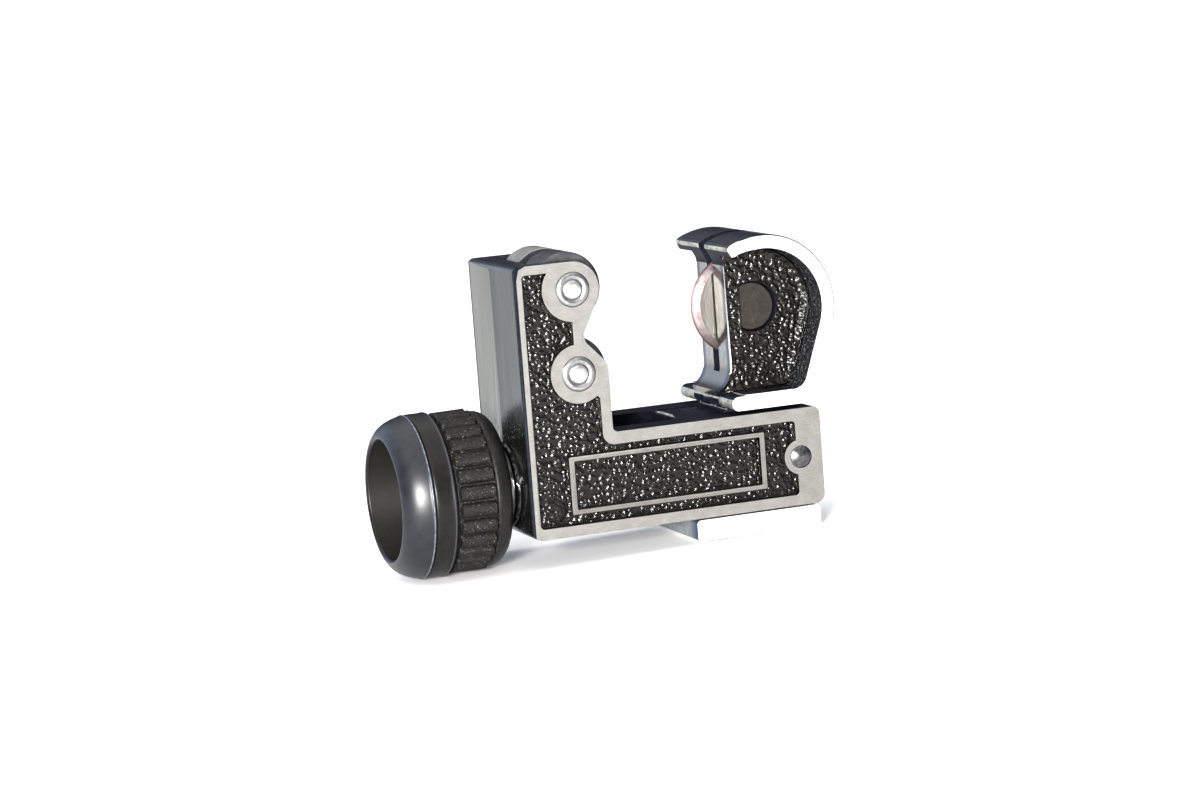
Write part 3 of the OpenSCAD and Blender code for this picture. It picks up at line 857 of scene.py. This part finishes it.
def build_jaw():
    bm = cad_copy("jaw_slide")
    BRIGHT, PAINT, MIRROR, GLOSS, WALL, TOE, SHADE, FOOT = 0, 1, 2, 3, 4, 5, 6, 7
    # the tongue's front and the lower flange's end lie in one plane
    split(bm, [f for f in bm.faces if f.normal.x < -0.9 and max(v.co.x for v in f.verts) < 34.2], (0, 0, -0.9), (0, 0, 1))
    bm.normal_update()
    for f in bm.faces:
        ys = [abs(v.co.y) for v in f.verts]
        c, n = f.calc_center_median(), f.normal
        across = min(v.co.y for v in f.verts) < -1.0 and max(v.co.y for v in f.verts) > 1.0
        if min(ys) > HW - 0.02 and not across:
            f.material_index = BRIGHT
        elif abs(n.y) > 0.9 and abs(abs(c.y) - WEB) < 0.05 and c.z > 23.0:
            f.material_index = PAINT
        elif min(ys) > WEB - 0.05 and c.x > 46.2 and c.z > 22.9 and not across:
            f.material_index = PAINT
        # painted highlight: the toe's paler metal along the hook's nose
        elif c.z > 51.3 and c.x < 45.0 and n.x < -0.88:
            f.material_index = TOE
        # painted shade with the dull enamel: under the hook, in the pockets, under and on top of the upper flange, in
        # the slot and on the tongue
        elif c.z > 48.15 and c.x < 46.1 and n.x < -0.2 and n.z < 0.6:
            f.material_index = SHADE
        elif c.z > 22.9 and max(ys) < WEB + 0.05 and n.x < -0.2 and c.x < 47.0:
            f.material_index = MIRROR
        elif all(1.45 < abs(v.co.y) < 6.75 and 19.8 < v.co.z < 22.05 and v.co.x < 45.7 for v in f.verts):
            f.material_index = SHADE
        elif 19.9 < c.z < 20.5 and c.x < 46.5 and n.z < -0.5:
            f.material_index = SHADE
        elif max(ys) < 1.56 and c.z > 23.0:
            f.material_index = SHADE
        elif 22.3 < c.z < 23.4 and c.x < 46.5 and n.z > 0.7:
            f.material_index = SHADE
        # painted highlight along the tongue's front edge
        elif c.x < 35.0 and 18.2 < c.z < 19.9 and n.x < -0.25 and 0.52 < n.z < 0.86:
            f.material_index = TOE
        elif c.x < 46.0 and 1.0 < c.z < 19.85:
            f.material_index = SHADE
        elif 19.9 < c.z < 23.3 and c.x < 46.5:
            f.material_index = TOE
        elif c.z < 0.5 and n.x < -0.3:
            f.material_index = FOOT
        elif c.z < 0.5 or (19.9 < c.z < 23.3 and c.x > 60.5):
            f.material_index = BRIGHT
        else:
            f.material_index = GLOSS
    # painted shade in the seat of the wheel's pin
    for f in bm.faces:
        c = f.calc_center_median()
        if math.hypot(c.x - WHEEL_X, c.z - WHEEL_Z) < 5.05 and max(v.co.y for v in f.verts) < -3.0 \
                and min(v.co.y for v in f.verts) > -WEB - 0.01 and max(v.co.y for v in f.verts) > -WEB + 0.05:
            f.material_index = SHADE
    edges = [e for e in bm.edges if len(e.link_faces) == 2 and corner(e) > 28]

    def bore(e):
        m = (e.verts[0].co + e.verts[1].co) / 2
        return (math.hypot(m.x - WHEEL_X, m.z - WHEEL_Z) < 2.6
                or (math.hypot(m.y, m.z - AX) < 4.2))

    edges = [e for e in edges if not bore(e)]
    front = [e for e in edges if all(abs(abs(v.co.y) - WEB) < 0.02 and v.co.x < 46.3 and 26.0 < v.co.z < 48.6 for v in e.verts)]
    tip = [e for e in edges if all(v.co.x < 45.4 and v.co.z > 50.5 for v in e.verts)
           and abs(e.verts[0].co.y - e.verts[1].co.y) > 2.0]
    slot = [e for e in edges if all(abs(abs(v.co.y) - 1.5) < 0.02 for v in e.verts)]
    # thin dark line of painted shade where the polished rim runs out over the back
    crest = [e for e in edges if all(abs(v.co.y) > HW - 0.02 and v.co.x > 46.0 and v.co.z > 24.0
                                     and math.hypot(v.co.x - 51.6, v.co.z - 39.5) > 14.6 for v in e.verts)]
    # painted shade: a thin grey line along the lower flange's bottom edge
    below = [e for e in edges if all(abs(v.co.y) > HW - 0.02 and v.co.z < -4.3 for v in e.verts)]
    known = set(front) | set(slot) | set(tip) | set(crest) | set(below)
    rest = [e for e in edges if e not in known]
    bevel(bm, tip, 0.55, 3)
    bevel(bm, [e for e in rest if e.is_valid], 0.30, 2)
    bevel(bm, [e for e in slot if e.is_valid], 0.12, 1)
    bevel(bm, front, 0.24, 2, BRIGHT, False)
    bevel(bm, crest, 0.22, 2, SHADE, False)
    bevel(bm, below, 0.12, 2, TOE, False)
    bm.normal_update()
    floors = [f for f in bm.faces if f.material_index == PAINT and abs(f.normal.y) > 0.999
              and abs(abs(f.calc_center_median().y) - WEB) < 0.05]

    for f in bm.faces:
        if f.material_index == PAINT and abs(f.normal.y) < 0.5:
            f.material_index = WALL

    def open_edge(p, q):
        # the web's front corner, and the seat of the wheel's pin
        return (p[0] < 46.9 and q[0] < 46.9) or max(math.hypot(*(p - (WHEEL_X, WHEEL_Z))), math.hypot(*(q - (WHEEL_X, WHEEL_Z)))) < 5.6

    wrinkle_floor(bm, [f for f in floors if f.normal.y < 0], 0.14, 1.05, 0.88, 11.0, PAINT, 0.9, open_edge)
    wrinkle_floor(bm, [f for f in floors if f.is_valid and f.normal.y > 0], 0.20, 1.05, 0.88, 15.0, PAINT, 0.9, open_edge)
    bm.normal_update()
    return emit(bm, "jaw_casting", ["bright", "wrinkle", "mirror", "gloss", "wall", "toe", "shade", "foot"], "jaw", ["jaw_slide"], 40)


# -------------------------------------------------------------- turned pieces

def build_rollers():
    prof = [(2.65, -10.25), (6.6, -10.25), (7.0, -9.85), (7.0, -2.4), (5.4, -0.8),
            (5.4, 0.8), (7.0, 2.4), (7.0, 9.85), (6.6, 10.25), (2.65, 10.25)]
    prof = fillet(prof, 0.22, 3, True)
    for node, z, body in (("roller_upper", UP_Z, "upper_roller"), ("roller_lower", LO_Z, "lower_roller")):
        emit(lathe(prof, about_y(PIN_X, z), 128), node + "_turned", ["roller"], body, [node], 50)


def build_rivets():
    edge = [(0.0, 0.52), (0.9, 0.515), (1.35, 0.49), (1.6, 0.43), (1.76, 0.31), (1.9, 0.21), (2.02, 0.19), (2.15, 0.25),
            (2.32, 0.38), (2.5, 0.44), (2.72, 0.44), (2.95, 0.36), (3.18, 0.22), (3.36, 0.08), (3.45, 0.0)]
    prof = ([(r, HW + t) for r, t in edge] + [(2.6, HW + 0.02), (2.6, -HW - 0.02)]
            + [(r, -HW - t) for r, t in reversed(edge)])
    for node, z in (("roller_pin_upper", UP_Z), ("roller_pin_lower", LO_Z)):
        bm = lathe(prof, about_y(PIN_X, z), 72, closed=False)
        # the ring was rolled over by hand: it isn't perfectly even
        for v in bm.verts:
            if abs(v.co.y) > HW + 0.05:
                k = noise.noise(Vector((v.co.x * 0.55, v.co.z * 0.55, z))) * 0.05
                v.co.y += k if v.co.y > 0 else -k
                v.co.y = max(-HW - 0.55, min(HW + 0.55, v.co.y))
        emit(bm, node + "_rivet", ["rivet"], "frame", [node], 60)


def build_stop_pin():
    half = [(0.0, 0.70), (0.35, 0.685), (0.7, 0.62), (1.05, 0.50), (1.4, 0.36), (1.75, 0.19), (2.05, 0.02), (2.2, -0.1), (2.25, -0.25)]
    prof = [(r, HW + t) for r, t in half] + [(r, -HW - t) for r, t in reversed(half)]
    bm = lathe(prof, about_y(56.95, 9.6), 64, closed=False)
    emit(bm, "stop_pin_domed", ["dark"], "frame", ["stop_pin"], 60)


def build_wheel():
    prof = fillet([(2.55, -1.2), (3.6, -1.2), (3.9, -1.0), (8.7, -1.0), (10.3, -0.05), (10.3, 0.05), (8.7, 1.0), (3.9, 1.0), (3.6, 1.2), (2.55, 1.2)], 0.10, 3, True)
    emit(lathe(prof, about_y(WHEEL_X, WHEEL_Z), 160), "cutter_wheel_ground", ["wheel"], "wheel", ["cutter_wheel"], 24)


def build_wheel_pin():
    bm = cad_copy("wheel_pin")
    # the head sits loose in its seat
    for v in bm.verts:
        if v.co.y < -4.4 and math.hypot(v.co.x - WHEEL_X, v.co.z - WHEEL_Z) > 2.52:
            v.co.x = WHEEL_X + (v.co.x - WHEEL_X) * 0.965
            v.co.z = WHEEL_Z + (v.co.z - WHEEL_Z) * 0.965
            v.co.x = max(v.co.x, WHEEL_X - 2.50)
    e = [e for e in bm.edges if len(e.link_faces) == 2 and corner(e) > 40 and max(v.co.y for v in e.verts) < -6.3]
    bevel(bm, e, 0.16, 3)
    e = [e for e in bm.edges if e.is_valid and len(e.link_faces) == 2 and corner(e) > 40 and min(v.co.y for v in e.verts) > 9.2]
    bevel(bm, e, 0.25, 2)
    emit(bm, "wheel_pin_dhead", ["pin"], "jaw", ["wheel_pin"], 40)
    for node, body in (("wheel_pin_clip", "jaw"), ("screw_clip", "screw")):
        bm = cad_copy(node)
        bevel(bm, [e for e in bm.edges if len(e.link_faces) == 2 and corner(e) > 40], 0.08, 2)
        emit(bm, node + "_sprung", ["dark"], body, [node], 40)


def build_washers():
    prof = fillet([(3.9, -1.75), (8.0, -1.75), (8.0, -0.65), (3.9, -0.65)], 0.25, 4, True)
    emit(lathe(prof, about_x, 112), "thrust_washer_ring", ["washer"], "screw", ["thrust_washer"], 50)
    prof = fillet([(3.9, 7.6), (6.8, 7.6), (6.8, 8.4), (3.9, 8.4)], 0.18, 3, True)
    emit(lathe(prof, about_x, 96), "inner_washer_ring", ["washer"], "screw", ["inner_washer"], 50)
    prof = fillet([(3.0, -9.9), (5.2, -9.9), (5.2, -9.0), (3.0, -9.0)], 0.18, 3, True)
    emit(lathe(prof, about_x, 80), "knob_washer_ring", ["washer"], "screw", ["knob_washer"], 50)


def build_nut():
    """Hexagon nut with chamfered corners."""
    bm = bmesh.new()
    n, x0, x1, flat = 72, -13.7, -9.9, 4.997
    rows = []
    for t, k in ((x0, 0), (x0 + 0.55, 1), (x1 - 0.55, 1), (x1, 0)):
        row = []
        for i in range(n):
            a = 2 * math.pi * i / n
            hexr = flat / math.cos((a + math.pi / 6) % (math.pi / 3) - math.pi / 6)
            r = min(hexr, 4.95) if k == 0 else min(hexr, 5.72)
            row.append(bm.verts.new((t, r * math.cos(a + math.pi / 2), AX + r * math.sin(a + math.pi / 2))))
        rows.append(row)
    for t, r in ((x1, 3.0), (x0, 3.0)):
        rows.append([bm.verts.new((t, r * math.cos(2 * math.pi * i / n + math.pi / 2), AX + r * math.sin(2 * math.pi * i / n + math.pi / 2))) for i in range(n)])
    for a, b in zip(rows, rows[1:] + rows[:1]):
        for i in range(n):
            j = (i + 1) % n
            bm.faces.new([a[i], a[j], b[j], b[i]])
    bmesh.ops.recalc_face_normals(bm, faces=bm.faces)
    emit(bm, "knob_nut_hex", ["screw"], "screw", ["knob_nut"], 28)


def build_screw():
    """Feed screw with a real right-hand thread of 1.25 mm pitch."""
    n, pitch = 48, 1.25
    bm = bmesh.new()
    rows = []

    def add(t, fn):
        rows.append([bm.verts.new(about_x(fn(2 * math.pi * k / n), t, 2 * math.pi * k / n)) for k in range(n)])

    def thread(t, lo, hi):
        def fn(a):
            u = (t / pitch - a / (2 * math.pi)) % 1.0
            v = abs(2 * u - 1)
            v = min(1.0, max(0.0, (v - 0.14) / 0.72))
            return lo + (hi - lo) * v
        return fn

    add(-14.6, lambda a: 2.4)
    t = -14.6
    while t < -9.2:
        t += 0.16
        add(t, thread(t, 2.55, min(3.0, 2.5 + (t + 14.6) * 1.2)))
    for t, r in ((-9.0, 3.0), (-1.76, 3.0), (-1.75, 3.1), (-1.75, 3.9), (8.44, 3.9), (8.45, 3.1), (9.15, 3.1), (9.16, 3.6)):
        add(t, lambda a, r=r: r)
    t = 9.4
    while t < 51.2:
        add(t, thread(t, 3.2, 3.9))
        t += 0.16
    for t in (51.3, 51.5, 51.7, 51.9, 52.0):
        add(t, thread(t, 3.2, 3.9 - (t - 51.2) * 0.9))
    for a, b in zip(rows, rows[1:]):
        for k in range(n):
            j = (k + 1) % n
            bm.faces.new([a[k], a[j], b[j], b[k]])
    for row, t in ((rows[0], -14.6), (rows[-1], 52.0)):
        c = bm.verts.new((t, 0, AX))
        for k in range(n):
            bm.faces.new([row[k], row[(k + 1) % n], c])
    bmesh.ops.recalc_face_normals(bm, faces=bm.faces)
    emit(bm, "feed_screw_threaded", ["screw"], "screw", ["feed_screw"], 50, weighted=False)


# ----------------------------------------------------------------------- knob

def build_knob():
    ribs, per = 28, 18
    n = ribs * per

    def smooth(a, b, v):
        t = min(1.0, max(0.0, (v - a) / (b - a)))
        return t * t * (3 - 2 * t)

    # outer line from the hollow's floor, over the mouth and the nose, to the hub
    inner = fillet([(3.0, -9.0), (10.9, -9.0), (11.75, -24.5), (12.15, -24.97), (12.6, -24.88)], 0.45, 5)
    nose = [(13.05, -24.68), (13.5, -24.36), (13.95, -23.95), (14.35, -23.5), (14.7, -23.0), (15.0, -22.45),
            (15.27, -21.85), (15.5, -21.2), (15.67, -20.6), (15.78, -20.15), (15.83, -19.90), (15.88, -19.80), (15.95, -19.72),
            (16.0, -19.62), (16.01, -19.53), (15.97, -19.44), (15.88, -19.38), (15.66, -19.33), (15.60, -19.26),
            (15.64, -19.18), (15.80, -19.12), (15.88, -19.03), (15.94, -18.85), (15.98, -18.5), (16.0, -18.0),
            (16.0, -17.2), (15.99, -16.4), (15.99, -15.85), (16.03, -15.66), (16.07, -15.53), (16.09, -15.40),
            (16.07, -15.27), (16.0, -15.13), (15.85, -15.0), (15.62, -14.88), (15.35, -14.76), (15.08, -14.62), (14.93, -14.48)]
    grip = [(None, -14.4 + 0.16 * i) for i in range(49)]
    tail = [(15.0, -6.5), (15.1, -6.38), (15.16, -6.2), (15.18, -5.8), (15.15, -5.4), (15.06, -4.95), (14.9, -4.5),
            (14.66, -4.08), (14.34, -3.7), (13.96, -3.38), (13.5, -3.14), (13.0, -2.98), (12.4, -2.9)]
    hub = fillet([(11.5, -2.9), (7.0, -2.9), (7.0, -1.75), (3.0, -1.75)], 0.3, 4)
    line = [tuple(p) for p in inner] + nose + grip + tail + [tuple(p) for p in hub]

    def rib(x, a):
        base = 14.55 + 0.14 * (x + 14.4) / 7.8
        ph = (a / (2 * math.pi) * ribs) % 1.0 - 0.5
        v = abs(ph) * 2 * math.pi * 15.3 / ribs
        u = abs(x + 10.42)
        hx, hv, rr = 3.62, 1.42, 0.62
        qx, qv = u - (hx - rr), v - (hv - rr)
        sd = math.hypot(max(qx, 0), max(qv, 0)) + min(max(qx, qv), 0) - rr
        crown = 0.66 * (v / hv) ** 2
        return base + (1.12 - crown) * (1 - smooth(-0.26, 0.12, sd))

    bm = bmesh.new()
    rows = []
    for r, x in line:
        rows.append([bm.verts.new(about_x(r if r is not None else rib(x, 2 * math.pi * k / n), x, 2 * math.pi * k / n)) for k in range(n)])
    for a, b in zip(rows, rows[1:] + rows[:1]):
        for k in range(n):
            j = (k + 1) % n
            bm.faces.new([a[k], a[j], b[j], b[k]])
    bmesh.ops.recalc_face_normals(bm, faces=bm.faces)
    for f in bm.faces:
        c = f.calc_center_median()
        if c.x < -19.41 and math.hypot(c.y, c.z - AX) > 12.0:
            f.material_index = 1
    return emit(bm, "knob_moulding", ["knob", "knob_nose"], "screw", ["knob"], 50, weighted=False)


build_body()
build_jaw()
build_rollers()
build_rivets()
build_stop_pin()
build_wheel()
build_wheel_pin()
build_washers()
build_nut()
build_screw()
build_knob()


# ------------------------------------------------- floor, light and the camera

def row(x, y, z):
    return TO_ROW @ Vector((x, y, z))


def stage_floor():
    g = Graph("pale_floor")
    col = g.ramp(g.noise(0.02, 3.0, 0.5), [(0.3, (0.90, 0.90, 0.90)), (0.7, (0.93, 0.93, 0.93))])
    g.set(Base_Color=col, Roughness=0.85, Normal=g.bump(g.noise(0.6, 3.0), 0.02, 0.3))
    bm = bmesh.new()
    # the tool stands on its knob and on the far edge of the jaw's foot
    slope = 2.085 / (60.3 + 15.4)
    y = 9000.0
    vs = [bm.verts.new((x, yy, ZL + slope * (x + 15.4) - 0.03)) for x, yy in ((-9000, -y), (9000, -y), (9000, 3 * y), (-9000, 3 * y))]
    bm.faces.new(vs)
    bm.transform(TO_ROW)
    me = bpy.data.meshes.new("floor")
    bm.to_mesh(me)
    bm.free()
    me.materials.append(g.mat)
    ob = bpy.data.objects.new("floor", me)
    bpy.context.scene.collection.objects.link(ob)


def area(name, pos, target, size, power, color=(1, 1, 1), shape="RECTANGLE", size_y=None):
    l = bpy.data.lights.new(name, "AREA")
    l.shape, l.size, l.size_y = shape, size, size_y or size
    l.energy, l.color = power, color
    o = bpy.data.objects.new(name, l)
    o.location = pos
    o.rotation_euler = (Vector(target) - Vector(pos)).to_track_quat("-Z", "Y").to_euler()
    bpy.context.scene.collection.objects.link(o)
    return o


stage_floor()
mid = row(25, 0, 25)
CAM = row(-199.031, -621.327, 114.816)
# a tall softbox left of the camera, standing on the floor
area("key", row(25 - 0.53 * 680, -0.848 * 680, 105), mid, 0.13, 17.5, (1.0, 0.985, 0.965), size_y=0.20)
sun = bpy.data.lights.new("overhead", "SUN")
sun.energy, sun.angle, sun.color = 2.25, math.radians(90), (1.0, 0.99, 0.97)
so = bpy.data.objects.new("overhead", sun)
so.rotation_euler = Vector((0.05, 0.05, -1.0)).to_track_quat("-Z", "Y").to_euler()
bpy.context.scene.collection.objects.link(so)

world = bpy.data.worlds.new("studio")
bpy.context.scene.world = world
world.use_nodes = True
wt = world.node_tree
bg = wt.nodes["Background"]
wc = wt.nodes.new("ShaderNodeTexCoord")
ws = wt.nodes.new("ShaderNodeSeparateXYZ")
wr = wt.nodes.new("ShaderNodeValToRGB")
wt.links.new(wc.outputs["Generated"], ws.inputs[0])
wt.links.new(ws.outputs[2], wr.inputs[0])
we = wr.color_ramp.elements
we[0].position, we[0].color = 0.0, (0.05, 0.06, 0.085, 1.0)
we[1].position, we[1].color = 1.0, (0.94, 0.93, 0.92, 1.0)
for pos, col in ((0.20, (0.07, 0.085, 0.12, 1.0)), (0.42, (0.32, 0.35, 0.42, 1.0)), (0.65, (0.84, 0.84, 0.86, 1.0))):
    wr.color_ramp.elements.new(pos).color = col
# open, bluish side to the left
wd = wt.nodes.new("ShaderNodeVectorMath")
wd.operation = "DOT_PRODUCT"
wd.inputs[1].default_value = (-0.60, 0.75, 0.28)
wt.links.new(wc.outputs["Generated"], wd.inputs[0])
wm = wt.nodes.new("ShaderNodeMapRange")
wm.interpolation_type = "SMOOTHSTEP"
for i, v in ((1, 0.78), (2, 0.95), (3, 0.0), (4, 1.0)):
    wm.inputs[i].default_value = v
wt.links.new(wd.outputs["Value"], wm.inputs[0])
wx = wt.nodes.new("ShaderNodeMix")
wx.data_type = "RGBA"
wt.links.new(wm.outputs[0], wx.inputs[0])
wt.links.new(wr.outputs[0], wx.inputs[6])
wx.inputs[7].default_value = (1.42, 1.65, 2.08, 1.0)
wt.links.new(wx.outputs[2], bg.inputs[0])
bg.inputs[1].default_value = 0.9

cam = bpy.data.cameras.new("camera")
cam.sensor_fit = "HORIZONTAL"
cam.sensor_width = 36.0
cam.lens = 3378.756 / 1200.0 * 36.0
cam.clip_start, cam.clip_end = 0.01, 100.0
co = bpy.data.objects.new("camera", cam)
right = Vector((0.936470, -0.342440, -0.075874))
up = Vector((0.118100, 0.104158, 0.987524))
fwd = Vector((0.330264, 0.933747, -0.137984))
m = Matrix((right, up, -fwd)).transposed().to_4x4()
m.translation = CAM
co.matrix_world = m
bpy.context.scene.collection.objects.link(co)
bpy.context.scene.camera = co

vs = bpy.context.scene.view_settings
vs.view_transform = "Standard"
vs.look = "None"
vs.exposure = 0.0
vs.gamma = 0.87
